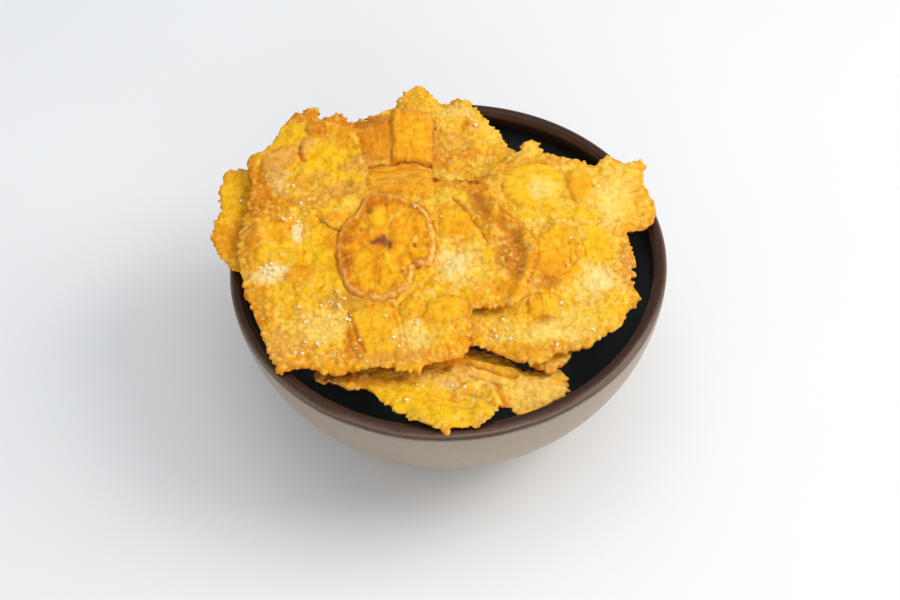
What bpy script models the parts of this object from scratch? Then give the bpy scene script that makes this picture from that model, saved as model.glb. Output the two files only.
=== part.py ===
"""Tostones: six big flat fried plantain patties piled in a small stoneware bowl.

Units are millimetres until the vertices are written, which are metres.  +Z is up,
the bowl stands on z = 0 with its axis on x = y = 0, and the front of the serving
faces -Y.  The bowl is a turned profile.  Every patty is a thin wavy plate: a ragged
outline in its own plane, thinner towards its margin, tilted and bent where it lies
on the rim or on its neighbours.
"""
import math

import bpy
import numpy as np
from mathutils import Vector
from mathutils.geometry import delaunay_2d_cdt

MM = 0.001

# bowl
BOWL_RADIUS = 80.0
BOWL_HEIGHT = 64.0
LIP_WIDTH = 4.8
LIP_HEIGHT = 2.0
BODY_DEPTH = 71.5
BODY_POWER = 1.85
FOOT_RADIUS = 37.5
FOOT_HEIGHT = 4.0
INSIDE_FLOOR = 8.0
BOWL_SEGMENTS = 60

# patties: distance between outline points and between points inside the outline
EDGE_STEP = 4.2
GRID_STEP = 6.4
TAPER_WIDTH = 6.0

# Each patty: where its middle lies, its tilt about X and about Y in degrees, its
# thickness in the middle and at the margin, its outline in its own plane, and its
# soft bends as (u, v, reach, height).
PATTIES = {
    "patty_top": {
        "centre": (-22.0, 2.0, 71.1),
        "tilt": (5.0, 0.0),
        "thickness": (3.6, 2.0),
        "outline": [
            (-52, 41), (-45, 46), (-39, 56), (-33, 64), (-25, 66), (-24, 60), (-16, 62),
            (-10, 57), (5, 63), (19, 58), (19, 42), (19, 28), (28, 27), (38, 25),
            (41, 15), (50, 4), (55, -6), (51, -20), (50, -27), (42, -32), (30, -32),
            (29, -43), (25, -51), (16, -53), (8, -57), (-4, -54), (-18, -56), (-31, -52),
            (-39, -53), (-45, -37), (-49, -25), (-53, -11), (-54, 3), (-51, 18), (-50, 30),
        ],
        "bends": [
            (46, 12, 10, 1.8), (55, -6, 9, 2.4), (50, -26, 9, 1.4), (0, 0, 34, 0.9),
            (-26, 34, 16, 0.8), (8, 46, 14, 0.6), (-50, 4, 13, 0.4), (-38, -50, 13, -0.9),
        ],
    },
    "patty_right": {
        "centre": (45.0, 0.0, 66.5),
        "tilt": (5.5, 0.0),
        "thickness": (3.4, 1.9),
        "outline": [
            (-17, 45), (-13, 49), (-9, 49), (-6, 43), (3, 40), (8, 39), (11, 36), (17, 40),
            (25, 37), (31, 37), (30, 27), (33, 20), (32, 10), (28, 6), (21, 3), (23, -9),
            (21, -17), (23, -25), (18, -31), (14, -38), (9, -39), (3, -45), (-6, -46),
            (-14, -50), (-21, -50), (-31, -44), (-41, -40), (-46, -34), (-42, -22),
            (-37, -8), (-36, 8), (-37, 22), (-33, 30), (-25, 38),
        ],
        "bends": [
            (30, 20, 14, -2.4), (0, 12, 16, 1.0), (18, -22, 12, -0.8), (-8, -44, 11, 0.8),
            (-10, 42, 10, 0.6),
        ],
    },
    "patty_front": {
        "centre": (-4.0, -57.4, 59.2),
        "tilt": (-10.0, 4.5),
        "thickness": (3.6, 2.0),
        "outline": [
            (-45, 7), (-38, 3), (-32, 0), (-28, 1), (-25, -1), (-22, -5), (-18, -9),
            (-12, -16), (-5, -21), (0, -25), (3, -22), (9, -22), (14, -20), (17, -16),
            (18, -10), (21, -9), (26, -13), (33, -10), (38, -6), (43, -1), (44, 6),
            (41, 11), (30, 11), (22, 17), (14, 21), (4, 23), (-10, 24), (-26, 23), (-40, 19),
        ],
        "bends": [
            (0, 2, 14, 1.2), (30, 0, 10, -0.6), (-34, 12, 12, -0.8), (-4, -22, 12, 3.8),
            (15, -19, 9, 4.6),
        ],
    },
    "patty_left": {
        "centre": (-70.0, 15.0, 66.4),
        "tilt": (0.0, 8.0),
        "thickness": (3.0, 1.8),
        "outline": [
            (-4, 31), (-12, 29), (-14, 21), (-15, 15), (-14, 8), (-16, 1), (-16, -6),
            (-14, -12), (-10, -18), (-5, -21), (8, -22), (24, -16), (34, -3), (32, 12),
            (20, 22), (6, 29),
        ],
        "bends": [(-17, 4, 9, 1.6), (-11, 27, 9, 1.2), (28, 0, 20, -1.4)],
    },
    "patty_back": {
        "centre": (0.0, 60.0, 66.4),
        "tilt": (1.5, 0.0),
        "thickness": (3.4, 1.9),
        "outline": [
            (-17, 16), (-14, 23), (-7, 26), (-3, 21), (1, 16), (8, 18), (13, 15), (17, 8),
            (23, -2), (25, -9), (30, -16), (25, -24), (12, -29), (-4, -34), (-22, -36),
            (-40, -28), (-50, -14), (-48, -2), (-38, 7), (-26, 10),
        ],
        "bends": [(-20, -6, 15, 4.2), (24, -16, 10, 1.2), (22, 2, 8, -1.2), (-8, 24, 8, 0.4)],
    },
    "patty_under": {
        "centre": (12.0, -15.0, 59.7),
        "tilt": (2.0, -2.0),
        "thickness": (2.8, 1.6),
        "outline": [
            (16, -33), (20, -37), (26, -35), (30, -29), (36, -14), (38, 6), (30, 23),
            (14, 34), (-6, 39), (-26, 34), (-40, 20), (-41, 2), (-32, -12), (-14, -17),
            (4, -21), (14, -27),
        ],
        "bends": [(6, 4, 18, 0.8), (-14, 18, 18, 1.2), (24, -32, 8, -0.4)],
    },
}


def material(name, colour, roughness):
    made = bpy.data.materials.new(name)
    made.use_nodes = True
    shader = made.node_tree.nodes["Principled BSDF"]
    shader.inputs["Base Color"].default_value = (*colour, 1.0)
    shader.inputs["Roughness"].default_value = roughness
    return made


def add_object(name, points, faces, look):
    mesh = bpy.data.meshes.new(name)
    mesh.from_pydata([tuple(MM * c for c in p) for p in points], [], faces)
    mesh.validate()
    mesh.update()
    mesh.materials.append(look)
    made = bpy.data.objects.new(name, mesh)
    bpy.context.scene.collection.objects.link(made)
    return made


def bowl_profile():
    """Half section of the bowl, (radius, height), from the foot's middle round to inside."""
    shoulder = BOWL_HEIGHT - LIP_HEIGHT
    profile = [(FOOT_RADIUS - 0.8, 0.0), (FOOT_RADIUS, 0.8), (FOOT_RADIUS + 0.3, FOOT_HEIGHT - 0.6)]
    for step in range(8):
        height = FOOT_HEIGHT + (shoulder - FOOT_HEIGHT) * (step / 7.0) ** 1.35
        depth = (shoulder - height) / BODY_DEPTH
        profile.append((BOWL_RADIUS * math.sqrt(1.0 - depth ** BODY_POWER), height))
    middle = BOWL_RADIUS - LIP_WIDTH / 2.0
    for turn in (30, 65, 90, 115, 150, 180):
        angle = math.radians(turn)
        profile.append(
            (middle + LIP_WIDTH / 2.0 * math.cos(angle), shoulder + LIP_HEIGHT * math.sin(angle))
        )
    inner = BOWL_RADIUS - LIP_WIDTH
    for step in range(1, 8):
        angle = math.radians(90.0 * step / 8.0)
        profile.append(
            (inner * math.cos(angle) ** 0.9, shoulder - (shoulder - INSIDE_FLOOR) * math.sin(angle))
        )
    return profile


def turned(profile, segments):
    """Closed solid of revolution: the profile's two ends are joined on the axis."""
    points = []
    for radius, height in profile:
        for k in range(segments):
            angle = 2.0 * math.pi * k / segments
            points.append((radius * math.cos(angle), radius * math.sin(angle), height))
    faces = []
    for row in range(len(profile) - 1):
        for k in range(segments):
            after = (k + 1) % segments
            a = row * segments + k
            b = row * segments + after
            c = (row + 1) * segments + after
            d = (row + 1) * segments + k
            faces.append((a, b, c, d))
    foot = len(points)
    points.append((0.0, 0.0, profile[0][1]))
    floor = len(points)
    points.append((0.0, 0.0, INSIDE_FLOOR))
    last = (len(profile) - 1) * segments
    for k in range(segments):
        after = (k + 1) % segments
        faces.append((after, k, foot))
        faces.append((last + k, last + after, floor))
    return points, faces


def curve_through(control, step):
    """Closed smooth curve through the control points, with a point about every step."""
    control = np.array(control, float)
    count = len(control)
    samples = []
    for i in range(count):
        p0, p1, p2, p3 = (control[(i + k - 1) % count] for k in range(4))
        pieces = max(1, int(round(np.linalg.norm(p2 - p1) / step)))
        for k in range(pieces):
            t = k / pieces
            samples.append(
                0.5
                * (
                    2.0 * p1
                    + (p2 - p0) * t
                    + (2.0 * p0 - 5.0 * p1 + 4.0 * p2 - p3) * t * t
                    + (3.0 * p1 - p0 - 3.0 * p2 + p3) * t ** 3
                )
            )
    return np.array(samples)


def distance_to(outline, points):
    """Distance of each point from the closed outline."""
    start = outline
    along = np.roll(outline, -1, axis=0) - start
    length = (along ** 2).sum(axis=1)
    offset = points[:, None, :] - start[None, :, :]
    share = np.clip((offset * along).sum(axis=2) / length, 0.0, 1.0)
    nearest = start + share[..., None] * along
    return np.sqrt(((points[:, None, :] - nearest) ** 2).sum(axis=2)).min(axis=1)


def inside(outline, points):
    """True for each point that lies inside the closed outline."""
    found = np.zeros(len(points), bool)
    following = np.roll(outline, -1, axis=0)
    for (x1, y1), (x2, y2) in zip(outline, following):
        crosses = (y1 > points[:, 1]) != (y2 > points[:, 1])
        reach = x1 + (points[:, 1] - y1) * (x2 - x1) / (y2 - y1 if y2 != y1 else 1.0)
        found ^= crosses & (points[:, 0] < reach)
    return found


def patty(spec):
    """Closed plate over the outline, bent, tilted and thinner towards its margin."""
    outline = curve_through(spec["outline"], EDGE_STEP)
    low = outline.min(axis=0)
    high = outline.max(axis=0)
    grid = []
    row = 0
    v = low[1]
    while v < high[1]:
        u = low[0] + (GRID_STEP / 2.0 if row % 2 else 0.0)
        while u < high[0]:
            grid.append((u, v))
            u += GRID_STEP
        v += GRID_STEP * 0.866
        row += 1
    grid = np.array(grid)
    grid = grid[inside(outline, grid)]
    grid = grid[distance_to(outline, grid) > GRID_STEP * 0.45]
    flat = np.vstack([outline, grid])
    ring = len(outline)
    made = delaunay_2d_cdt(
        [Vector(p) for p in flat], [], [list(range(ring))], 1, 1e-4
    )
    flat = np.array([tuple(p) for p in made[0]])
    triangles = [tuple(face) for face in made[2]]

    margin = distance_to(outline, flat)
    share = np.clip(margin / TAPER_WIDTH, 0.0, 1.0)
    share = share * share * (3.0 - 2.0 * share)
    full, edge = spec["thickness"]
    half = 0.5 * (edge + (full - edge) * share)
    middle = np.zeros(len(flat))
    for u, v, reach, height in spec["bends"]:
        middle += height * np.exp(-((flat[:, 0] - u) ** 2 + (flat[:, 1] - v) ** 2) / reach ** 2)

    about_x, about_y = (math.radians(a) for a in spec["tilt"])
    turn_x = np.array(
        [[1, 0, 0], [0, math.cos(about_x), -math.sin(about_x)],
         [0, math.sin(about_x), math.cos(about_x)]]
    )
    turn_y = np.array(
        [[math.cos(about_y), 0, math.sin(about_y)], [0, 1, 0],
         [-math.sin(about_y), 0, math.cos(about_y)]]
    )
    turn = turn_x @ turn_y
    top = np.column_stack([flat, middle + half]) @ turn.T + spec["centre"]
    bottom = np.column_stack([flat, middle - half]) @ turn.T + spec["centre"]

    count = len(flat)
    faces = list(triangles)
    faces += [tuple(count + i for i in reversed(face)) for face in triangles]
    edges = set()
    for a, b, c in triangles:
        edges |= {(a, b), (b, c), (c, a)}
    for a, b in edges:
        if (b, a) not in edges:
            faces.append((b, a, count + a, count + b))
    return np.vstack([top, bottom]).tolist(), faces


for old in list(bpy.data.objects):
    bpy.data.objects.remove(old, do_unlink=True)

stoneware = material("stoneware", (0.20, 0.16, 0.13), 0.35)
plantain = material("plantain", (0.86, 0.46, 0.06), 0.55)

add_object("bowl", *turned(bowl_profile(), BOWL_SEGMENTS), stoneware)
for name, spec in PATTIES.items():
    add_object(name, *patty(spec), plantain)
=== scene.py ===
"""Looks of the tostones: dense crumbly patties, coarse salt and the glazed bowl.

Lengths are millimetres until a mesh is written, which is in metres.  Each patty is made
in its own flat plane, (u, v), and then tilted and moved to its place in the bowl.
"""
import math

import bpy
import numpy as np
from mathutils import Matrix, Vector
from mathutils.geometry import delaunay_2d_cdt


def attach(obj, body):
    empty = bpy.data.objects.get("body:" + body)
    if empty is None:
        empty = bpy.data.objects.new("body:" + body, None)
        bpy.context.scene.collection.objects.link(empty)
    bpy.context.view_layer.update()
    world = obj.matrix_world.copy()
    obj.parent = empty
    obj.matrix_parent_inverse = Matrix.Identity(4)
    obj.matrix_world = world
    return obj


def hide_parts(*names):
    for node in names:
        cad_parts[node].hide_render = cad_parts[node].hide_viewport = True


MM = 0.001

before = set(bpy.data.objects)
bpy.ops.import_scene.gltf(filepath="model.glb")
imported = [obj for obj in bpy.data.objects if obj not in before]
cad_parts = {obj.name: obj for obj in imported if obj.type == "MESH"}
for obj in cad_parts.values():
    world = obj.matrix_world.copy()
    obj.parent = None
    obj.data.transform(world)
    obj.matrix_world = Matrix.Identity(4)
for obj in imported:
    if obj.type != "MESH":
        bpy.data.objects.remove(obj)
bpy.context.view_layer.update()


# ---------------------------------------------------------------- noise

def lattice(u, v, size, rng):
    """Places on a square lattice, their cells, and a lookup that gives a cell, or one
    beside it, its own number from 0 to 255."""
    table = rng.permutation(256)
    x = u / size + 71.3
    y = v / size + 53.7
    xi = np.floor(x).astype(int)
    yi = np.floor(y).astype(int)

    def pick(i, j):
        return table[(table[(xi + i) & 255] + yi + j) & 255]

    return x, y, xi, yi, pick


def perlin(u, v, size, seed):
    """Smooth noise from about -1 to 1, with features of the given size."""
    rng = np.random.default_rng(seed)
    x, y, xi, yi, pick = lattice(u, v, size, rng)
    angle = rng.uniform(0.0, 2.0 * math.pi, 256)
    xf = x - xi
    yf = y - yi
    fx = xf * xf * xf * (xf * (xf * 6 - 15) + 10)
    fy = yf * yf * yf * (yf * (yf * 6 - 15) + 10)

    def corner(i, j):
        a = angle[pick(i, j)]
        return np.cos(a) * (xf - i) + np.sin(a) * (yf - j)

    low = corner(0, 0) * (1 - fx) + corner(1, 0) * fx
    high = corner(0, 1) * (1 - fx) + corner(1, 1) * fx
    return 1.5 * (low * (1 - fy) + high * fy)


def layered(u, v, size, seed, layers=3):
    """Several sizes of smooth noise on top of each other."""
    total = np.zeros(np.shape(u))
    for k in range(layers):
        total += 0.5 ** k * perlin(u, v, size * 0.5 ** k, seed + k)
    return total


def cells(u, v, size, seed):
    """Distances to the nearest and next nearest scattered point, in cells, and a
    number from 0 to 1 for the nearest one."""
    rng = np.random.default_rng(seed)
    x, y, xi, yi, pick = lattice(u, v, size, rng)
    shift = rng.uniform(0.1, 0.9, (256, 3))
    first = np.full(np.shape(u), 9.0)
    second = np.full(np.shape(u), 9.0)
    label = np.zeros(np.shape(u))
    for i in (-1, 0, 1):
        for j in (-1, 0, 1):
            spot = shift[pick(i, j)]
            away = np.hypot(xi + i + spot[..., 0] - x, yi + j + spot[..., 1] - y)
            nearer = away < first
            second = np.where(nearer, first, np.minimum(second, away))
            label = np.where(nearer, spot[..., 2], label)
            first = np.where(nearer, away, first)
    return first, second, label


def step01(value, low, high):
    """0 below low, 1 above high, and smooth between them."""
    t = np.clip((value - low) / (high - low), 0, 1)
    return t * t * (3 - 2 * t)


def bell(distance, width):
    """1 at no distance, falling smoothly away over the width."""
    return np.exp(-((distance / width) ** 2))


# ---------------------------------------------------------------- outlines

def curve_through(control, step):
    """Closed smooth curve through the control points, with a point about every step."""
    control = np.array(control, float)
    count = len(control)
    samples = []
    for i in range(count):
        p0, p1, p2, p3 = (control[(i + k - 1) % count] for k in range(4))
        pieces = max(1, int(round(np.linalg.norm(p2 - p1) / step)))
        for k in range(pieces):
            t = k / pieces
            bend = 2 * p0 - 5 * p1 + 4 * p2 - p3
            twist = 3 * p1 - p0 - 3 * p2 + p3
            samples.append(0.5 * (2 * p1 + (p2 - p0) * t + bend * t * t + twist * t ** 3))
    return np.array(samples)


def evenly(outline, step):
    """The same closed outline with points at even steps along it."""
    closed = np.vstack([outline, outline[:1]])
    run = np.concatenate([[0], np.cumsum(np.linalg.norm(np.diff(closed, axis=0), axis=1))])
    count = int(run[-1] / step)
    at = np.linspace(0, run[-1], count, endpoint=False)
    return np.column_stack([np.interp(at, run, closed[:, k]) for k in (0, 1)])


def distance_to(path, points, closed=True):
    """Distance of each point from the path."""
    start = path if closed else path[:-1]
    along = (np.roll(path, -1, axis=0) - path) if closed else np.diff(path, axis=0)
    length = np.maximum((along ** 2).sum(axis=1), 1e-9)
    nearest = np.full(len(points), 1e9)
    for s, a, n in zip(start, along, length):
        offset = points - s
        share = np.clip((offset @ a) / n, 0, 1)
        nearest = np.minimum(nearest, ((offset - share[:, None] * a) ** 2).sum(axis=1))
    return np.sqrt(nearest)


def inside(outline, points):
    found = np.zeros(len(points), bool)
    for (x1, y1), (x2, y2) in zip(outline, np.roll(outline, -1, axis=0)):
        if y1 == y2:
            continue
        crosses = (y1 > points[:, 1]) != (y2 > points[:, 1])
        reach = x1 + (points[:, 1] - y1) * (x2 - x1) / (y2 - y1)
        found ^= crosses & (points[:, 0] < reach)
    return found


def ragged(outline, seed):
    """Pushes the outline in and out, in broad scallops with small torn teeth on them."""
    outline = evenly(outline, 0.35)
    ahead = np.roll(outline, -3, axis=0) - np.roll(outline, 3, axis=0)
    ahead /= np.linalg.norm(ahead, axis=1)[:, None]
    outward = np.column_stack([ahead[:, 1], -ahead[:, 0]])
    u, v = outline[:, 0], outline[:, 1]
    if np.sum(u * np.roll(v, -1) - np.roll(u, -1) * v) < 0:
        outward = -outward
    torn = 0.1 + 0.9 * step01(perlin(u, v, 9, seed + 4), -0.30, 0.35)
    push = 0.60 * perlin(u, v, 5.5, seed) + (0.35 + 0.75 * torn) * perlin(u, v, 2.4, seed + 1)
    teeth = 1 - 2.6 * np.abs(perlin(u, v, 3.1, seed + 2))
    push += 0.85 * torn * teeth + (0.15 + 0.65 * torn) * perlin(u, v, 1.35, seed + 3) - 0.25
    return outline + outward * push[:, None]


# ---------------------------------------------------------------- patties

# Colours of the fried plantain, from raw yellow to burnt, and a greyish olive that is painted
# shade.
TONES = {
    "lemon": (0.92, 0.52, 0.002),
    "yellow": (0.94, 0.52, 0.008),
    "gold": (0.90, 0.43, 0.007),
    "orange": (0.86, 0.335, 0.005),
    "amber": (0.68, 0.225, 0.005),
    "toast": (0.48, 0.140, 0.008),
    "brown": (0.26, 0.065, 0.010),
    "seed": (0.17, 0.060, 0.034),
    "white": (0.97, 0.78, 0.42),
    "cream": (0.96, 0.69, 0.19),
    "pale": (0.95, 0.60, 0.07),
    "tan": (0.74, 0.36, 0.05),
    "pink": (0.84, 0.40, 0.09),
    "mauve": (0.74, 0.42, 0.15),
    # painted shade: a greyish olive for slopes and hollows in shade
    "olive": (0.58, 0.29, 0.030),
    "crust": (0.90, 0.51, 0.19),
}


def turn_of(tilt):
    about_x, about_y = (math.radians(a) for a in tilt)
    return np.array(Matrix.Rotation(about_x, 3, "X") @ Matrix.Rotation(about_y, 3, "Y"))


def in_round(at, u, v):
    """Place in a round piece, in half sizes from its middle."""
    cu, cv, ru, rv, turn = at
    a = math.radians(turn)
    x = ((u - cu) * math.cos(a) + (v - cv) * math.sin(a)) / ru
    y = ((v - cv) * math.cos(a) - (u - cu) * math.sin(a)) / rv
    return x, y


def straight_fibres(u, v, grain, seed):
    """Fibres in the direction of the grain, in degrees."""
    a = math.radians(grain)
    along = u * math.cos(a) + v * math.sin(a)
    across = v * math.cos(a) - u * math.sin(a) + 0.8 * perlin(u, v, 9, seed + 2)
    lines = perlin(along * 0.16, across * 1.1, 1, seed)
    return lines + 0.5 * perlin(along * 0.3, across * 2.6, 1, seed + 1)


def spokes(u, v, at, seed):
    """Fibres from the middle of a round piece outward."""
    x, y = in_round(at, u, v)
    around, out = np.arctan2(y, x), np.hypot(x, y)
    lines = perlin(around * 7, out * 1.6, 1, seed)
    lines += 0.6 * perlin(around * 18, out * 2, 1, seed + 1)
    return lines * step01(out, 0.05, 0.35)


class Skin:
    """Height over the plate, colour and smoothness of a patty's upper face."""

    def __init__(self, points, margin, seed, light):
        self.seed, self.light, self.margin = seed, light, margin
        self.u, self.v = u, v = points[:, 0], points[:, 1]

        def shifted(amount, size, at, layers):
            return points + amount * np.column_stack(
                [layered(u, v, size, seed + k, layers) for k in at]
            )

        self.warp = shifted(0.9, 6, (1, 2), 1)
        self.fine_warp = shifted(0.45, 2.8, (3, 5), 2)
        self.blotch = layered(u, v, 4, seed + 7, 3)

        first, second, self.label = cells(*self.fine_warp.T, 2.9, seed + 11)
        crumb = np.clip(second - first, 0, 0.55) / 0.55
        dome = np.clip(1 - 1.7 * first ** 2, 0, 1)
        first, second, self.small_label = cells(*self.fine_warp.T, 1.35, seed + 12)
        grain = np.clip(second - first, 0, 0.5) / 0.5
        small_dome = np.clip(1 - 1.9 * first ** 2, 0, 1)
        coarse = step01(layered(u, v, 10, seed + 13, 2), -0.25, 0.6)
        crumbs = (0.36 * (self.label - 0.5) + 0.12 * crumb + 0.1 * dome) * (0.1 + 0.9 * coarse)
        crumbs += 0.1 * small_dome * (0.2 + 1.4 * self.small_label) * (0.15 + 0.85 * coarse)
        self.crumb_height = crumbs + 0.27 * layered(*self.fine_warp.T, 2.1, seed + 14, 3)
        self.cavity = 0.55 * (1 - crumb) * (0.3 + 0.7 * coarse) + 0.35 * (1 - grain)
        crease = np.exp(-np.abs(perlin(*self.warp.T, 4.4, seed + 51)) / 0.07)
        crease += 0.7 * np.exp(-np.abs(perlin(*self.fine_warp.T, 2.2, seed + 52)) / 0.09)
        self.crease = crease * step01(perlin(u, v, 9, seed + 53), -0.25, 0.45)
        self.height = 0.8 * layered(u, v, 8, seed + 15, 3)
        # How much of the crumbs stays, and where it is smooth, grooved, or spared torn bits.
        self.keep = np.ones(len(u))
        self.smooth, self.groove, self.calm = (np.zeros(len(u)) for _ in range(3))

        gold, yellow = np.array(TONES["gold"]), np.array(TONES["yellow"])
        share = step01(layered(u, v, 9, seed + 21, 3), -0.7, 0.4)[:, None]
        self.colour = gold + (yellow - gold) * share
        for tone, most, size, at, lift, low, high in (
            ("orange", 0.7, 6, 24, -0.5, 0, 0.6), ("pale", 0.8, 5, 27, 0.7, 0.15, 0.8),
            ("cream", 0.5, 4, 36, 0.5, 0.3, 0.9), ("lemon", 0.65, 7, 33, 0, 0.1, 0.7),
        ):
            patches = layered(u, v, size, seed + at, 4) + lift * light
            self.dye(tone, most * step01(patches, low, high))
        edge = np.exp(-margin / (1.8 + 1.2 * perlin(u, v, 8, seed + 30)).clip(0.6))
        self.dye("amber", 0.85 * edge * step01(self.blotch, -0.8, 0.3))

    def dye(self, tone, share):
        share = np.clip(share, 0, 1)[:, None]
        self.colour = self.colour * (1 - share) + np.array(TONES[tone]) * share

    def stain(self, u, v, ru, rv, tone, amount=1, turn=0, rise=0, crumb=1):
        """A patch of another colour; crumb is how much of the crumbs it keeps."""
        x, y = in_round((u, v, ru, rv, turn), *self.warp.T)
        reach = np.hypot(x, y) + 0.42 * self.blotch
        cover = step01(1.32 - reach, 0, 0.8)
        self.dye(tone, amount * cover)
        self.height += rise * cover
        self.keep *= 1 + (crumb - 1) * cover
        self.keep = np.minimum(self.keep, 1.7)

    def depth_in(self, outline):
        """Distance inside an outline, below zero outside it."""
        outline = evenly(curve_through(outline, 1.5), 0.8)
        away = distance_to(outline, self.fine_warp)
        return np.where(inside(outline, self.fine_warp), away, -away)

    def pebble(self, u, v, ru, rv, turn, *values):
        """A round piece pressed in."""
        at = (u, v, ru, rv, turn)
        x, y = in_round(at, *self.fine_warp.T)
        self.press_in((1 - np.hypot(x, y)) * min(ru, rv), at, *values)

    def slab(self, corners, *values):
        """A cut piece pressed in, with straight sides between its blunt corners."""
        corners = np.array(corners, float)
        after = np.roll(corners, -1, axis=0)
        blunt = np.stack([corners * 0.86 + after * 0.14, corners * 0.14 + after * 0.86], axis=1)
        self.press_in(self.depth_in(blunt.reshape(-1, 2)), None, *values)

    def press_in(self, depth, at, tone, rise, grain, groove, rim=0.4):
        """A piece with fibres along the grain, in degrees, or out from its middle."""
        u, v, blotch = self.u, self.v, self.blotch
        cover = step01(depth, -0.25, 0.7)
        dome = np.sqrt(np.clip(depth / 2.2, 0, 1))
        is_round = grain == "round"
        if is_round:
            lines = spokes(u, v, at, self.fibre_seed)
        else:
            lines = straight_fibres(u, v, grain, self.fibre_seed)
        self.height = self.height * (1 - 0.65 * cover) + rise * dome * cover
        self.height += 0.16 * lines * cover
        self.keep *= 1 - 0.82 * cover
        self.smooth = np.maximum(self.smooth, cover)
        self.dye(tone, cover * (0.72 + 0.28 * step01(blotch, -0.5, 0.6)) * 0.95)
        self.dye("amber", cover * 0.52 * step01(lines, 0.05, 0.9))
        self.dye("pale", cover * 0.36 * step01(-lines, 0.15, 0.9))
        if is_round:
            x, y = in_round(at, u, v)
            for far in (2.4, 4.6):
                arc = bell(depth - far - 1.1 * blotch, 0.55) * step01(x - y, -0.5, 0.6)
                self.dye("toast", 0.6 * arc * cover)
                self.height -= 0.18 * arc * cover
            self.dye("gold", 0.8 * cover * step01(depth + 1.5 * blotch, 3.5, 7))
            self.height += 0.35 * cover * blotch
        band = bell(depth - 0.9, 0.9) * cover
        self.dye("toast", rim * band * step01(blotch, -0.6, 0.5))
        line = bell(depth + 0.25, 0.42) * groove * (0.65 + 0.35 * blotch).clip(0.2, 1)
        self.groove = np.maximum(self.groove * (1 - cover), line)

    def crack(self, line, width=0.45, depth=0.7, tone="brown", amount=0.9):
        away = distance_to(np.array(line, float), self.fine_warp, closed=False)
        self.height -= depth * bell(away, width * 1.5)
        self.dye(tone, amount * bell(away, width))

    def ridge(self, line, width, rise, tone, amount):
        """A raised line or, with a rise below zero, a soft furrow."""
        away = distance_to(np.array(line, float), self.warp, closed=False)
        cover = bell(away, width)
        self.height += rise * cover
        self.dye(tone, amount * cover)
        self.keep *= 1 - 0.4 * cover
        self.calm = np.maximum(self.calm, cover)

    def big_slice(self):
        """The whole cross-cut slice: spokes, a browned ring, dark seeds, a pale crust."""
        u, v, blotch = self.u, self.v, self.blotch
        seed = self.seed + 900
        x, y = in_round(SLICE, *self.fine_warp.T)
        depth = self.depth_in(SLICE_OUTLINE)
        cover = step01(depth, -0.25, 0.55)
        lines = spokes(u, v, SLICE, seed)
        upper = step01(y - 0.9 * x, -0.7, 0.8)
        crust = bell(depth - 0.7, (0.75 + 0.7 * blotch).clip(0.3))
        crust *= 0.25 + 0.75 * step01(perlin(u, v, 3, seed + 5), -0.55, 0.25)
        shoulder = np.sqrt(np.clip(depth / 1.2, 0, 1))
        self.height = self.height * (1 - 0.85 * cover) + 0.95 * shoulder * cover
        swell = 0.55 * perlin(u, v, 6.5, seed + 3)
        self.height += cover * (0.2 * lines + 0.5 * blotch + swell)
        self.height -= 0.8 * cover * np.exp(-((x ** 2 + y ** 2) / 0.04))
        self.height += 0.25 * crust * cover - 0.2 * cover * bell(depth - 2.6, 0.7)
        self.keep *= 1 - 0.62 * cover
        self.smooth = np.maximum(self.smooth, cover)
        ring = step01(3.6 + 2.6 * upper + 2.6 * blotch - depth, 0, 2.6)
        for tone, share in (
            ("gold", 1),
            ("orange", 0.75 + 0.25 * upper),
            ("amber", 0.18 + 0.66 * ring),
            ("gold", 0.55 * (1 - ring) * step01(1 - upper + 0.5 * blotch, 0.2, 0.9)),
            ("toast", 0.55 * ring * step01(blotch, 0, 0.6)),
            ("brown", 0.5 * ring * step01(self.small_label, 0.8, 0.95)),
            ("amber", 0.55 * step01(lines, 0.1, 0.8)),
            ("yellow", 0.3 * step01(-lines, 0.3, 0.9) * (1 - 0.6 * ring)),
            ("yellow", 0.5 * step01(-blotch, 0.15, 0.7) * (1 - ring)),
        ):
            self.dye(tone, cover * share)
        for lay in SLICE_MARKS:
            lay(self)
        line = bell(depth - 2.3 - 0.4 * blotch, 0.45)
        self.dye("toast", 0.35 * line * step01(blotch, -0.5, 0.4))
        crust *= cover * (0.4 + 0.6 * step01(x - 0.6 * y, -0.6, 0.4))
        self.dye("crust", crust)
        self.dye("cream", 0.8 * crust * step01(self.small_label, 0.45, 0.8))
        self.keep = np.maximum(self.keep, 1.3 * crust)
        edge = bell(depth + 0.3, 0.4) * (0.55 + 0.6 * blotch).clip(0.1, 1)
        self.groove = np.maximum(self.groove * (1 - cover), edge)
        rng = np.random.default_rng(seed)
        self.dye("toast", 0.75 * np.exp(-(((u + 1.2) / 3.9) ** 2 + ((v + 1.9) / 2.7) ** 2)))
        for cu, cv in SLICE_SEEDS:
            dot = bell(np.hypot(u - cu, v - cv), rng.uniform(0.75, 1.15))
            self.dye("seed", 0.9 * dot)
            self.height += 0.45 * dot
        self.keep *= 1 - 0.9 * np.exp(-((u + 1.2) ** 2 + (v + 1.9) ** 2) / 14)

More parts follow.
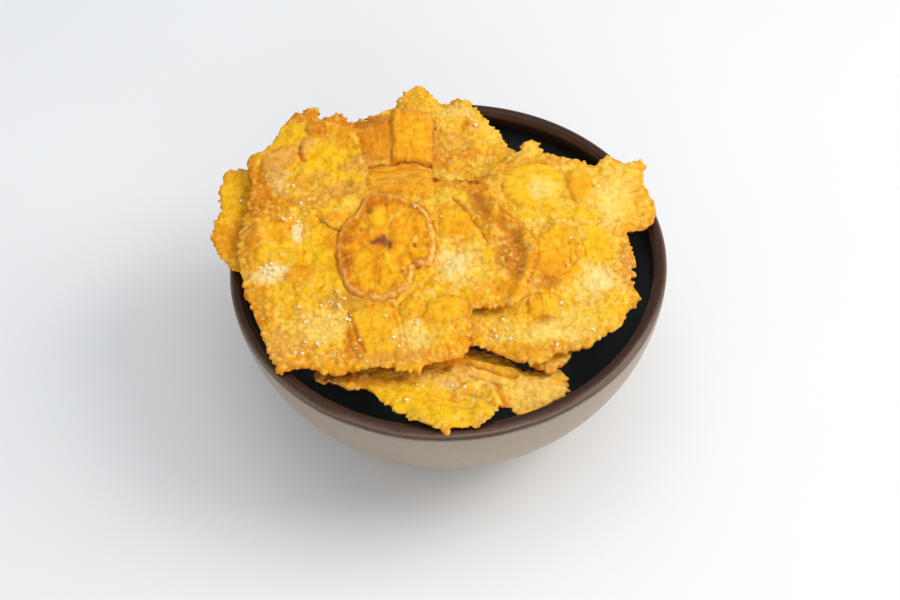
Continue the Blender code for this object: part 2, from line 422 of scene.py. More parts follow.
    def finish(self):
        """Crumbs, creases, browning and the torn edge, over all the marks."""
        u, v, seed, keep, margin = self.u, self.v, self.seed, self.keep, self.margin
        flat = 1 - self.smooth
        spots = layered(u, v, 2.6, seed + 41, 3)
        clean = 1 - 0.65 * step01(self.colour[:, 2], 0.08, 0.26)
        self.dye("amber", 0.4 * step01(spots - 0.2 * self.light, 0.12, 0.75) * clean)
        self.dye("pale", 0.35 * step01(-spots, 0.15, 0.75))
        self.dye("toast", 0.42 * self.crease.clip(0, 1) * (0.25 + 0.75 * flat) * clean)
        self.height -= 0.26 * self.crease.clip(0, 1.2) * (0.15 + 0.85 * flat)
        self.height += self.crumb_height * keep - 0.75 * self.groove
        # painted shade: the hollows between the crumbs are darkened towards amber
        shade = (self.cavity * keep * 0.55).clip(0, 0.7)
        self.dye("amber", shade * (0.35 + 0.65 * flat) * clean)
        bright = 0.2 + 0.8 * step01(self.colour[:, 1], 0.14, 0.34)
        # painted highlight: cream on the tallest small crumbs
        pale_flecks = 0.48 * step01(self.small_label, 0.66, 0.92) * keep
        self.dye("cream", pale_flecks * (0.15 + 0.85 * flat) * bright)
        near, _, label = cells(u, v, 2, seed + 48)
        specks = 0.34 * step01(0.36 - near, 0, 0.3) * step01(label, 0.55, 0.85)
        self.dye("toast", specks * (0.5 + 0.5 * flat))
        browned = 0.5 * step01(1 - self.small_label, 0.76, 0.97) * keep
        self.dye("amber", browned * (0.3 + 0.7 * flat) * clean)
        self.dye("toast", 0.8 * self.groove)
        torn = np.exp(-margin / 2.2) * (1 - 0.85 * self.calm)
        bits = layered(u, v, 1.7, seed + 45, 2)
        self.height += 0.45 * torn * bits
        # painted highlight and shade: the raised torn bits are painted cream, the sunk ones toast
        self.dye("cream", 0.5 * torn * step01(bits, 0.25, 0.8))
        self.dye("toast", 0.5 * torn * step01(-bits, 0.25, 0.8))
        self.height *= step01(margin, -0.2, 0.9) * 0.4 + 0.6
        # More contrast below the middle colour, channel by channel.
        ratio = self.colour.clip(0.001) / np.array([0.86, 0.43, 0.03])
        ratio = np.where(ratio < 1, ratio ** (1.05, 1.22, 1.1), ratio)
        self.colour = (0.87, 0.455, 0.03) * ratio
        self.colour *= (1 + 0.06 * (self.label - 0.5) + 0.05 * self.blotch)[:, None]
        self.colour = self.colour.clip(0.003, 0.97)


def mark(method):
    """Takes the method's values now, and lays the mark on a skin when it is called."""
    return lambda *values: lambda skin: method(skin, *values)


stain, crack, ridge = mark(Skin.stain), mark(Skin.crack), mark(Skin.ridge)
pebble, slab = mark(Skin.pebble), mark(Skin.slab)

# The marks of each patty, in the order in which they are laid on it.
TOP_MARKS = [
    # left field
    stain(-34, -6, 14, 10, "yellow", 0.6), stain(-44, 18, 9, 9, "amber", 0.75),
    stain(-47, 30, 6, 12, "amber", 0.7), stain(-40, 5, 9, 6, "orange", 0.5, 0, 0, 0.3),
    stain(-26, 22, 10, 7, "tan", 0.6), stain(-22, -7, 9, 12, "lemon", 0.65, 0, -0.3, 0.5),
    stain(-19.5, 1, 3.6, 8, "orange", 0.75, 0, 0, 0.4),
    stain(-42, -13, 7, 4.5, "white", 0.9), stain(-30, -22, 20, 8, "yellow", 0.6),
    stain(-24, -36, 16, 10, "pale", 0.7), stain(-22, -36, 11, 7, "cream", 0.6, 0, 0, 1.4),
    # painted shade: the greyish olive stain at (-15, -26.5) is the shade below the slice
    stain(-32, 5, 1.8, 4.5, "white", 0.9), stain(-15, -26.5, 9, 4.5, "olive", 0.75, 0, -0.2, 0.6),
    stain(-47, -26, 6, 10, "amber", 0.55), stain(-38, -44, 10, 7, "pink", 0.65),
    stain(-22, -50, 16, 4, "orange", 0.7),
    # top left corner
    stain(-33, 52, 9, 7, "yellow", 0.9, 0, 0, 0.15), stain(-29, 61, 8, 4, "amber", 0.8),
    pebble(-39, 40, 8, 5, 35, "pink", 0.6, 40, 0.5),
    pebble(-28.5, 45, 3.4, 6, -10, "pink", 0.7, 80, 0.5),
    stain(-39, 29.5, 4, 6, "mauve", 0.9),
    pebble(-26, 54, 3.6, 4.2, 10, "toast", 0.9, 60, 0.8),
    stain(-17, 53, 8, 7, "orange", 0.85, 0, 0, 0.7), stain(-14, 58, 8, 3.5, "amber", 0.8),
    # the bright hollow between them
    stain(-20, 36, 9, 13, "lemon", 0.95, -15, -0.5, 0.4),
    stain(-9, 43, 7, 4, "lemon", 0.7, 30, -0.3, 0.5), stain(-8, 36, 9, 4, "tan", 0.95, 15),
    stain(-13, 49, 5, 9, "orange", 0.6), stain(-15, 23, 9, 5, "tan", 0.85),
    stain(-24, 30, 6, 4, "tan", 0.6), stain(-13, 16.5, 3, 4.5, "pale", 0.95, -20, 0, 0.4),
    stain(-16, 11.5, 4.5, 2.4, "orange", 0.85, 15, 0.3, 0.3),
    # the cut pieces above the slice
    slab([(-11.5, 58), (2.6, 59), (2.2, 36), (-7, 37)], "amber", 0.4, 95, 0.1, 0.3),
    stain(-5, 47, 7, 9, "amber", 0.45, 0, 0, 0.4),
    stain(-2, 42, 3, 4, "gold", 0.5, 0, 0, 0.2), stain(-5, 56, 9, 3.5, "toast", 0.55),
    slab([(3, 62), (19.5, 59), (19, 34.5), (2.6, 35)], "orange", 1.3, 92, 0.6, 0.35),
    stain(12, 49, 5, 9, "gold", 0.7, 0, 0, 0.2),
    slab([(-7, 29), (-5, 33), (4, 34), (18, 33), (18, 18), (8, 19), (-6, 23)],
         "orange", 0.9, 3, 0.6, 0.4),
    stain(6, 27, 12, 5, "tan", 0.35, 0, 0, 0.3),
    ridge([(-4, 30.4), (6, 31.2), (17, 30.2)], 0.5, -0.25, "toast", 0.45),
    ridge([(-3, 27), (7, 28), (17.5, 26.6)], 0.5, -0.25, "toast", 0.4),
    ridge([(0, 24.2), (8, 24.6), (17.5, 22.6)], 0.5, -0.2, "toast", 0.35),
    # right part: the curled-up edge, with painted shade in its dip and on its inner face
    stain(33, 23, 10, 3.5, "amber", 0.8),
    # painted shade: the greyish olive stain at (34, 14) is the dip turned away from the light
    stain(34, 14, 4.5, 6, "olive", 0.75, 20, -0.6, 0.5), stain(22, 17, 4, 3.5, "pale", 0.8),
    slab([(20, 15), (31, 11), (32, -1), (19.5, -4)], "gold", 0.5, 75, 0.5, 0.3),
    # partly browning, partly painted shade: the tan and toast stains at (44, -8) and (46, -8)
    # darken the dip beside the curl
    stain(28, 3, 5, 4, "orange", 0.8, 0, 0, 0.2), stain(44, -8, 6, 12, "tan", 0.8, 0, -0.4, 1.3),
    stain(46, -8, 4.5, 12, "toast", 0.55, 0, 0, 1.3), stain(41, -24, 9, 4, "orange", 0.7),
    stain(26, -13, 8.5, 10, "cream", 0.95, 0, 0.3, 1.6),
    # painted shade: the greyish olive stain at (31, 13) is the dip turned away from the light
    stain(24, -13, 5, 5, "white", 0.45), stain(31, 13, 5, 4, "olive", 0.5, 0, 0, 0.5),
    stain(33, -18, 6, 6, "pale", 0.6),
    # painted shade: the toast on this furrow is the inner face of the curl, turned from the light
    ridge([(33, 19), (37, 8), (44, 2.5), (48.5, -9), (45, -20)], 2.5, -1.2, "toast", 0.6),
    ridge([(39, 21), (41, 8), (49, 1.5), (53.5, -9), (50, -20), (44, -29)],
          1.9, 1.3, "orange", 0.55),
    # painted shade: a thin toast line where the crest steps down to the right patty
    ridge([(41, 20), (43.2, 9), (51, 2.5), (56, -8)], 0.6, -0.5, "toast", 0.75),
    # painted shade: brown and toast on the inner face of the curl
    stain(41.5, -12, 3, 6, "brown", 0.35, 0, 0, 1.4),
    stain(36, 6, 2.2, 6, "toast", 0.6, 20, 0, 1.3),
    # pieces below the slice
    pebble(20, -32, 8.5, 5.2, 12, "gold", 1.1, 20, 0.7, 0.25),
    pebble(8.5, -31, 4.8, 4.2, 0, "gold", 0.9, 70, 0.6, 0.25),
    slab([(-14.5, -31), (0.5, -27.5), (4, -46), (0, -51), (-8, -52), (-13.5, -46)],
         "gold", 0.9, 75, 0.5, 0.2),
    stain(-12.5, -44, 3.2, 7, "amber", 0.85), stain(9, -43, 6, 7, "cream", 0.85),
    stain(22, -46, 6, 6, "orange", 0.6), stain(4, -51, 14, 3, "tan", 0.75, 0, -0.3),
    stain(5, -55.5, 12, 2.4, "gold", 0.9, 0, 0.5, 0.2),
    pebble(-31, -13.5, 6.4, 4.3, 12, "orange", 0.5, 12, 0.35, 0.3),
    stain(-49, 2, 3, 14, "toast", 0.45),
    mark(Skin.big_slice)(),
    crack([(-6, 33.6), (0, 34.4), (8, 35), (18, 34)], 0.5, 0.9),
    crack([(2.7, 36), (3.6, 46), (2.6, 56)], 0.5, 0.3, "toast", 0.45),
    crack([(19.4, 33), (19.2, 45), (19.6, 57)], 0.9, 0.9, "toast", 0.75),
    crack([(10.8, -12.8), (8.9, -10.8), (8.4, -8.4)], 0.6, 0.5, "toast", 0.6),
    crack([(-25, 12), (-22, 8), (-16.5, 4.5)], 0.5),
    crack([(25, 17), (30.5, 9.5), (34, 2.5), (36.5, -3)], 0.45, 0.6, "toast"),
    # painted shadow: the brown in this crevice is the shade under the back patty's edge
    crack([(19, 27.8), (25, 28.4), (34, 25.4)], 1.3, 1.5, "brown", 0.95),
    crack([(-14, -31), (-11.5, -40), (-8.4, -48.5)], 0.5, 0.7, "toast"),
    crack([(1, -28), (5, -36), (6, -46)], 0.5, 0.5, "amber", 0.6),
    crack([(-31, 47), (-32, 42), (-30, 38)], 0.6, 0.5, "toast", 0.8),
]

RIGHT_MARKS = [
    stain(-22, 36, 9, 5, "orange", 0.6), stain(-12, 44, 5, 5, "pale", 0.7),
    stain(-3, 38, 10, 4, "amber", 0.5), stain(22, 22, 10, 14, "pale", 0.7),
    stain(15, 15, 5, 11, "cream", 0.9), stain(21, 24, 5, 8, "cream", 0.6),
    stain(28, 22, 4, 14, "orange", 0.5), stain(22, 5, 8, 4, "orange", 0.5),
    pebble(-12, 27, 11.5, 10.5, 0, "yellow", 0.9, 5, 0.2, 0.1),
    # painted highlight: the cream spot at (-9, 25) on the yellow slice
    stain(-9, 25, 6, 5, "cream", 0.75, 0, 0, 0.2), stain(-13, 15, 12, 4, "lemon", 0.5, 0, 0, 0.3),
    stain(6, 13, 8, 4, "lemon", 0.7, -20, 0, 0.6),
    slab([(0.6, 33), (9, 32.4), (9.8, 20), (1.6, 19.4)], "gold", 1, 95, 0.4, 0.1),
    stain(5, 26, 5, 7, "orange", 0.5, 0, 0, 0.2),
    slab([(5, 7), (13.5, 6), (14, -9), (5.5, -9)], "yellow", 0.3, 82, 0.1, 0),
    stain(9, -20, 8, 11, "cream", 0.9, 0, 0, 1.3),
    stain(10, -16, 4, 6, "white", 0.5, 0, 0, 1.3), stain(-4, -37, 10, 6, "cream", 0.7),
    stain(-14, -38, 9, 4, "cream", 0.7), stain(12, -3, 5, 8, "gold", 0.6),
    stain(20, -10, 3, 10, "toast", 0.45), stain(12, -31, 9, 6, "lemon", 0.6),
    stain(-20, -30, 6, 6, "lemon", 0.5), stain(20, -12, 2.6, 9, "pink", 0.6, 0, 0, 1.3),
    pebble(-4.6, -4.4, 9, 12.8, -4, "gold", 0.7, "round", 0.3, 0.2),
    stain(-7, -12, 6, 5, "orange", 0.6, 0, 0, 0.3), stain(-16.5, -2, 2.6, 9, "amber", 0.6),
    stain(-9.5, -17, 6, 3.5, "toast", 0.5),
    slab([(-17.6, -21.8), (-6.4, -21.6), (-6.2, -31.6), (-17, -31.8)], "gold", 1, 95, 0.5, 0.15),
    stain(-12, -33, 6, 1.6, "toast", 0.6),
    pebble(-14.4, -26.6, 2.6, 4.6, 0, "gold", 0.5, 95, 0.3, 0.2),
    pebble(-9.3, -26.2, 2.5, 4.6, 0, "yellow", 0.5, 95, 0.3, 0.2),
    stain(14, -25, 6, 4.5, "lemon", 0.8), stain(-1, -32, 10, 5, "pale", 0.45),
    stain(-26, -37, 8, 4, "pale", 0.6), stain(-24, -45, 12, 3.5, "orange", 0.75, -12, 0.4, 0.3),
    stain(-8, -45, 8, 3, "amber", 0.5), stain(-34, -36, 7, 5, "gold", 0.6),
]

FRONT_MARKS = [
    stain(-10, -8, 22, 9, "yellow", 0.95, -32, 0, 0.05),
    stain(6, -14, 12, 4, "lemon", 0.5, -10, 0, 0.1),
    stain(4, 13, 12, 6, "orange", 0.9, -10, 0.3, 0.4),
    # painted shadow: the amber strip at (-26, 5) and the brown at (-38, 9) lie under the top
    # patty's front edge
    stain(14, 5, 9, 6, "crust", 0.6, -15, 0, 0.6), stain(-26, 5, 14, 5, "amber", 0.75, -20),
    stain(-38, 9, 9, 5, "brown", 0.8), stain(24, 8, 14, 5, "gold", 0.6, 0, 0.2, 0.5),
    stain(2, 0, 5, 3.2, "mauve", 0.75, 0, -0.4, 0.6),
    stain(33, -2, 11, 9, "cream", 0.55, 0, 0, 1.5),
    # painted light and shade: the raised folds are painted pale and gold, the furrows beside them
    # toast
    ridge([(5, -4), (9, 0.5), (15, 1), (17, -4), (19, -9)], 1.5, 1.5, "pale", 0.6),
    ridge([(3, -6), (8, -3.5), (13, -6), (16, -10)], 1.4, -0.9, "toast", 0.5),
    ridge([(8, 14), (16, 11), (26, 8)], 0.9, 1, "gold", 0.6),
    ridge([(8, 11.5), (16, 8.5), (25, 5.5)], 0.8, -0.8, "toast", 0.7),
    ridge([(10, 8.5), (17, 5.5), (24, 2.5)], 0.8, 0.9, "pale", 0.6),
    ridge([(9, 5.5), (16, 3), (22, 0)], 0.7, -0.6, "toast", 0.6),
    ridge([(0, 9), (5, 4), (7, -1)], 0.8, -0.5, "toast", 0.5),
    ridge([(18, 2), (20, -4), (21, -8)], 1, -0.7, "toast", 0.7),
    crack([(-20, 1), (-8, -4), (6, -9)], 0.5, 0.3, "orange", 0.6),
    crack([(-14, -5), (-2, -10), (10, -13)], 0.5, 0.3, "orange", 0.5),
]

LEFT_MARKS = [
    stain(-9, 10, 8, 24, "orange", 0.8, 0, 0, 0.25),
    slab([(-13, 27), (0, 30), (4, -20), (-15, -12), (-14, 8)], "gold", 0, 92, 0, 0),
    stain(-11, 16, 3, 9, "yellow", 0.5, 0, 0, 0.2), stain(-9, -6, 7, 8, "amber", 0.5, 0, 0, 0.4),
]

BACK_MARKS = [
    stain(-9, 17, 8, 7, "gold", 0.6), stain(-2, 17, 7, 3, "lemon", 0.7),
    stain(6, 11, 7, 4, "cream", 0.6), stain(19, -1, 4, 12, "pale", 0.85, 20, 0.5, 0.5),
    stain(4, -8, 9, 9, "tan", 0.65, 0, 0, 0.9),
    stain(12, -13, 5, 4, "orange", 0.85, 0, 0.3), stain(10, 3, 3, 3, "amber", 0.7),
    stain(22, -13, 5, 5, "orange", 0.5), stain(2, -17, 8, 4, "amber", 0.4),
]

# Each patty lies in its own plane: centre and tilt (degrees about X, then Y) place it,
# outline is in that plane, and bends are soft swells (u, v, reach, height).
# light makes it paler or, below zero, more orange.  thickness is in the middle and at
# the edge, and step is the spacing of its points.
PATTIES = {
    "patty_top": dict(
        centre=(-22, 2, 71.1), tilt=(5, 0), light=-0.02,
        thickness=(3.6, 1.5), step=0.52,
        outline=[
            (-52, 41), (-45, 46), (-39, 56), (-33, 64), (-25, 66), (-24, 60), (-16, 62),
            (-10, 57), (5, 63), (19, 58), (19, 42), (19, 28), (28, 27), (38, 25),
            (41, 15), (50, 4), (55, -6), (51, -20), (50, -27), (42, -32), (30, -32),
            (29, -43), (25, -51), (16, -53), (8, -57), (-4, -54), (-18, -56), (-31, -52),
            (-39, -53), (-45, -37), (-49, -25), (-53, -11), (-54, 3), (-51, 18), (-50, 30),
        ],
        bends=[
            (46, 12, 10, 1.8), (55, -6, 9, 2.4), (50, -26, 9, 1.4), (0, 0, 34, 0.9),
            (-26, 34, 16, 0.8), (8, 46, 14, 0.6), (-50, 4, 13, 0.4), (-38, -50, 13, -0.9),
        ],
        marks=TOP_MARKS,
    ),
    "patty_right": dict(
        centre=(45, 0, 66.5), tilt=(5.5, 0), light=0.8,
        thickness=(3.4, 1.5), step=0.5,
        outline=[
            (-17, 45), (-13, 49), (-9, 49), (-6, 43), (3, 40), (8, 39), (11, 36), (17, 40),
            (25, 37), (31, 37), (30, 27), (33, 20), (32, 10), (28, 6), (21, 3), (23, -9),
            (21, -17), (23, -25), (18, -31), (14, -38), (9, -39), (3, -45), (-6, -46),
            (-14, -50), (-21, -50), (-31, -44), (-41, -40), (-46, -34), (-42, -22),
            (-37, -8), (-36, 8), (-37, 22), (-33, 30), (-25, 38),
        ],
        bends=[
            (30, 20, 14, -2.4), (0, 12, 16, 1), (18, -22, 12, -0.8), (-8, -44, 11, 0.8),
            (-10, 42, 10, 0.6),
        ],
        marks=RIGHT_MARKS,
    ),
    "patty_front": dict(
        centre=(-4, -57.4, 59.2), tilt=(-10, 4.5), light=0.75,
        thickness=(3.6, 1.5), step=0.45,
        outline=[
            (-45, 7), (-38, 3), (-32, 0), (-28, 1), (-25, -1), (-22, -5), (-18, -9),
            (-12, -16), (-5, -21), (0, -25), (3, -22), (9, -22), (14, -20), (17, -16),
            (18, -10), (21, -9), (26, -13), (33, -10), (38, -6), (43, -1), (44, 6),
            (41, 11), (30, 11), (22, 17), (14, 21), (4, 23), (-10, 24), (-26, 23), (-40, 19),
        ],
        bends=[
            (0, 2, 14, 1.2), (30, 0, 10, -0.6), (-34, 12, 12, -0.8), (-4, -22, 12, 3.8),
            (15, -19, 9, 4.6),
        ],
        marks=FRONT_MARKS,
    ),
    "patty_left": dict(
        centre=(-70, 15, 66.4), tilt=(0, 8), light=-0.15,
        thickness=(3, 1.5), step=0.5,
        outline=[
            (-4, 31), (-12, 29), (-14, 21), (-15, 15), (-14, 8), (-16, 1), (-16, -6),
            (-14, -12), (-10, -18), (-5, -21), (8, -22), (24, -16), (34, -3), (32, 12),
            (20, 22), (6, 29),
        ],
        bends=[(-17, 4, 9, 1.6), (-11, 27, 9, 1.2), (28, 0, 20, -1.4)],
        marks=LEFT_MARKS,
    ),
    "patty_back": dict(
        centre=(0, 60, 66.4), tilt=(1.5, 0), light=0.5,
        thickness=(3.4, 1.5), step=0.5,
        outline=[
            (-17, 16), (-14, 23), (-7, 26), (-3, 21), (1, 16), (8, 18), (13, 15), (17, 8),
            (23, -2), (25, -9), (30, -16), (25, -24), (12, -29), (-4, -34), (-22, -36),
            (-40, -28), (-50, -14), (-48, -2), (-38, 7), (-26, 10),
        ],
        bends=[(-20, -6, 15, 4.2), (24, -16, 10, 1.2), (22, 2, 8, -1.2), (-8, 24, 8, 0.4)],
        marks=BACK_MARKS,
    ),
    "patty_under": dict(
        centre=(12, -15, 59.7), tilt=(2, -2), light=0.2,
        thickness=(2.8, 1.3), step=0.7,
        outline=[
            (16, -33), (20, -37), (26, -35), (30, -29), (36, -14), (38, 6), (30, 23),
            (14, 34), (-6, 39), (-26, 34), (-40, 20), (-41, 2), (-32, -12), (-14, -17),
            (4, -21), (14, -27),
        ],
        bends=[(6, 4, 18, 0.8), (-14, 18, 18, 1.2), (24, -32, 8, -0.4)],
        marks=[stain(24, -33, 9, 5, "tan", 0.5)],
    ),
}

# The cross-cut slice pressed into the top patty: its outline, its middle and half sizes.
SLICE_OUTLINE = [
    (-3, 21), (5.6, 18.5), (10, 15.6), (14.6, 11.6), (17.1, 4.5), (17.7, -4), (16.6, -11),
    (14.4, -13.4), (10.8, -12.8), (9.6, -15), (8.8, -19), (6.3, -22.5), (2.6, -25.5),
    (-2.7, -27), (-8.5, -25.3), (-13.8, -21.8), (-16.4, -16), (-17.7, -9), (-17.9, -1.7),
    (-16.7, 5), (-14.2, 8.8), (-10.4, 12), (-8.5, 17.5), (-6, 20.2),
]
SLICE_SEEDS = [
    (-4.5, -2.8), (-3.6, -1.9), (-2.7, -1.2), (-1.6, -0.3), (-0.7, 0.7), (-0.3, -1.4),
    (0.5, -2.4), (1.3, -3.5), (1.8, -4.8), (-1.7, -1.9),
]
SLICE_MARKS = [
    stain(10, 2, 4, 8, "orange", 0.55), stain(-3, 8.5, 3.2, 5, "yellow", 0.8),
    stain(-14, -10.5, 2.6, 4.5, "toast", 0.65), stain(-5.2, 12.4, 1.5, 1.2, "brown", 0.75),
    stain(0.6, 14.8, 0.9, 0.7, "brown", 0.75), stain(10.3, -4.2, 0.9, 1.3, "brown", 0.85),
    stain(5.3, -16, 0.9, 0.9, "brown", 0.6), stain(-9.4, 3.4, 1.3, 0.9, "toast", 0.7),
    # painted light and shade: the raised folds are painted gold and yellow, the furrows beside
    # them amber
    ridge([(-8.2, -8), (-8.5, -13.4), (-7.9, -19)], 2, 0.3, "gold", 0.7),
    ridge([(-3.2, -6.5), (-4.7, -11.4), (-5, -18)], 1.2, -0.35, "amber", 0.7),
    ridge([(-0.1, -7.3), (1.2, -11.8), (2.4, -16.3)], 1.1, 0.5, "yellow", 0.85),
    ridge([(3.6, -9), (5, -12.6)], 0.9, -0.3, "amber", 0.5),
    # painted highlights: a pale line, and a cream tip on top of the dark dot at (10.3, -4.2)
    ridge([(1.4, 7.5), (4.4, 9.9)], 0.8, 0.25, "pale", 0.7),
    ridge([(10.3, -2.4), (10.8, -0.6)], 0.6, 0.3, "cream", 0.6),
]
SLICE = (-0.6, -1.8, 16.8, 23.2, 4)


def add_mesh(name, points, faces, look, smooth=True):
    mesh = bpy.data.meshes.new(name)
    mesh.from_pydata((np.asarray(points) * MM).tolist(), [], faces)
    mesh.materials.append(look)
    if smooth:
        mesh.polygons.foreach_set("use_smooth", [True] * len(mesh.polygons))
    mesh.update()
    made = bpy.data.objects.new(name, mesh)
    bpy.context.scene.collection.objects.link(made)
    return made


def add_values(made, key, values, kind="FLOAT", field="value"):
    layer = made.data.attributes.new(key, kind, "POINT")
    layer.data.foreach_set(field, np.asarray(values, np.float32).ravel())


# Between the rows of a triangular grid, over the spacing of its points.
ROW_SPACING = 0.866


def triangulated(outline, step):
    """Points and triangles of a flat sheet: the outline, and a triangular grid inside it."""
    low = outline.min(axis=0)
    high = outline.max(axis=0)
    rows = np.arange(low[1], high[1], step * ROW_SPACING)
    columns = np.arange(low[0], high[0], step)
    grid_u = columns[None, :] + np.where(np.arange(len(rows)) % 2, step / 2, 0)[:, None]
    grid_v = np.repeat(rows[:, None], len(columns), axis=1)
    grid = np.column_stack([grid_u.ravel(), grid_v.ravel()])
    grid = grid[inside(outline, grid)]
    grid = grid[distance_to(outline, grid) > step * 0.55]
    corners = [Vector(p) for p in np.vstack([outline, grid]).tolist()]
    made = delaunay_2d_cdt(corners, [], [list(range(len(outline)))], 1, 1e-5)
    return np.array([tuple(p) for p in made[0]]), [tuple(face) for face in made[2]]


def patty(name, spec, look):
    """Dense plate with a torn margin; returns it with its upper face for the salt."""
    rank = sorted(PATTIES).index(name)
    seed = 300 + 11 * rank
    outline = evenly(ragged(curve_through(spec["outline"], 1), seed), spec["step"])
    flat, triangles = triangulated(outline, spec["step"])

    margin = distance_to(outline, flat)
    u, v = flat[:, 0], flat[:, 1]
    full, edge = spec["thickness"]
    half = 0.5 * (edge + (full - edge) * step01(margin, 0, 6))
    rounding = np.sqrt(np.clip(1 - (1 - np.clip(margin / 0.8, 0, 1)) ** 2, 0, 1))
    half *= 0.45 + 0.55 * rounding
    middle = np.zeros(len(flat))
    for cu, cv, reach, rise in spec["bends"]:
        middle += rise * np.exp(-((u - cu) ** 2 + (v - cv) ** 2) / reach ** 2)
    waves = 0.5 * perlin(u, v, 26, seed + 5)
    middle += waves + 0.5 * perlin(u, v, 9, seed + 6) * step01(8 - margin, 0, 8)
    under = 0.35 * layered(u, v, 7, seed + 7, 3) + 0.2 * perlin(u, v, 1.5, seed + 8)

    skin = Skin(flat, margin, 100 + 37 * rank, spec["light"])
    for k, lay in enumerate(spec["marks"]):
        skin.fibre_seed = skin.seed + 200 + 5 * k
        lay(skin)
    skin.finish()

    turn = turn_of(spec["tilt"])
    top = np.column_stack([flat, middle + half + skin.height - 0.3]) @ turn.T + spec["centre"]
    bottom = np.column_stack([flat, middle - half + under]) @ turn.T + spec["centre"]
    count = len(flat)
    faces = triangles + [tuple(count + i for i in reversed(face)) for face in triangles]
    edges = set()
    for a, b, c in triangles:
        edges |= {(a, b), (b, c), (c, a)}
    faces += [(b, a, count + a, count + b) for a, b in edges if (b, a) not in edges]
    plate = add_mesh(name + "_crust", np.vstack([top, bottom]), faces, look)
    add_values(plate, "smooth_part", np.concatenate([skin.smooth, skin.smooth * 0]))
    tones = np.vstack([skin.colour, skin.colour * (0.92, 0.8, 0.6)])
    tones = np.column_stack([tones, np.ones(len(tones))])
    add_values(plate, "tone", tones, "FLOAT_COLOR", "color")
    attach(plate, "root")
    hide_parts(name)
    return flat, top, turn, margin


# ---------------------------------------------------------------- materials

class Look:
    """A material; its calls add a node each and return what the node gives."""

    def __init__(self, name):
        self.material = bpy.data.materials.new(name)
        self.material.use_nodes = True
        self.nodes = self.material.node_tree.nodes
        self.links = self.material.node_tree.links
        self.shader = self.nodes["Principled BSDF"]
        self.place = self.nodes.new("ShaderNodeTexCoord").outputs["Object"]

    def put(self, socket, value):
        """Sets the socket to a number or colour, or links it to another node."""
        if isinstance(value, (int, float)):
            socket.default_value = value
        elif isinstance(value, tuple):
            socket.default_value = value + (1,) * (len(socket.default_value) - len(value))
        else:
            self.links.new(value, socket)

    def shade(self, **values):
        """Sets or links the shader's sockets, named with _ for a space."""
        for key, value in values.items():
            self.put(self.shader.inputs[key.replace("_", " ")], value)

    def attribute(self, key, output="Fac"):
        node = self.nodes.new("ShaderNodeAttribute")
        node.attribute_name = key
        return node.outputs[output]

    def noise(self, scale, detail=3, roughness=0.55):
        node = self.nodes.new("ShaderNodeTexNoise")
        for key, value in (("Scale", scale), ("Detail", detail), ("Roughness", roughness),
                           ("Vector", self.place)):
            self.put(node.inputs[key], value)
        return node.outputs["Fac"]

    def arithmetic(self, kind, *values):
        node = self.nodes.new("ShaderNodeMath")
        node.operation = kind
        for socket, value in zip(node.inputs, values):
            self.put(socket, value)
        return node.outputs[0]

    def stretch(self, value, low, high, to_low=0, to_high=1):
        node = self.nodes.new("ShaderNodeMapRange")
        for key, number in (("From Min", low), ("From Max", high), ("To Min", to_low),
                            ("To Max", to_high), ("Value", value)):
            self.put(node.inputs[key], number)
        return node.outputs["Result"]

    def blend(self, share, first, second, kind="MIX"):
        node = self.nodes.new("ShaderNodeMix")
        node.data_type = "RGBA"
        node.blend_type = kind
        self.put(node.inputs["Factor"], share)
        self.put(node.inputs[6], first)
        self.put(node.inputs[7], second)
        return node.outputs[2]

    def ramp(self, value, stops):
        node = self.nodes.new("ShaderNodeValToRGB")
        points = node.color_ramp.elements
        while len(points) < len(stops):
            points.new(0.5)
        for point, (at, colour) in zip(points, stops):
            point.position = at
            point.color = colour + (1,)
        self.links.new(value, node.inputs["Fac"])
        return node.outputs["Color"]

    def bump(self, height, distance, strength, below=None):
        node = self.nodes.new("ShaderNodeBump")
        self.put(node.inputs["Strength"], strength)
        self.put(node.inputs["Distance"], distance)
        self.links.new(height, node.inputs["Height"])
        if below is not None:
            self.links.new(below, node.inputs["Normal"])
        return node.outputs["Normal"]


def plantain_look():
    look = Look("fried_plantain")
    smooth_part = look.attribute("smooth_part")
    wide = look.noise(130, 3, 0.6)
    middle = look.noise(420, 4, 0.65)
    fine = look.noise(1000, 4, 0.7)
    grit = look.noise(2300, 2)
    colour = look.blend(look.stretch(middle, 0.5, 0.64, 0, 0.5),
                        look.attribute("tone", "Color"), (0.96, 0.8, 0.45), "MULTIPLY")
    browned = look.arithmetic("MULTIPLY", look.stretch(fine, 0.56, 0.68),
                              look.stretch(wide, 0.4, 0.62, 0.15, 0.75))
    colour = look.blend(browned, colour, (0.84, 0.58, 0.4), "MULTIPLY")
    pale_flecks = look.arithmetic("MULTIPLY", look.stretch(fine, 0.44, 0.32),
                            look.stretch(wide, 0.6, 0.42, 0, 0.55))
    pale_flecks = look.arithmetic("MULTIPLY", pale_flecks, look.stretch(smooth_part, 0, 1, 1, 0.35))
    pores = look.bump(fine, 0.0008, 0.6)
    look.shade(
        Base_Color=look.blend(pale_flecks, colour, (0.95, 0.62, 0.13)),
        Roughness=look.stretch(smooth_part, 0, 1, 0.58, 0.42),
        Specular_IOR_Level=0.09,
        Subsurface_Weight=0.15,
        Subsurface_Radius=(1, 0.45, 0.1),
        Subsurface_Scale=0.0007,
        Normal=look.bump(grit, 0.0004, 0.5, pores),
    )
    return look.material


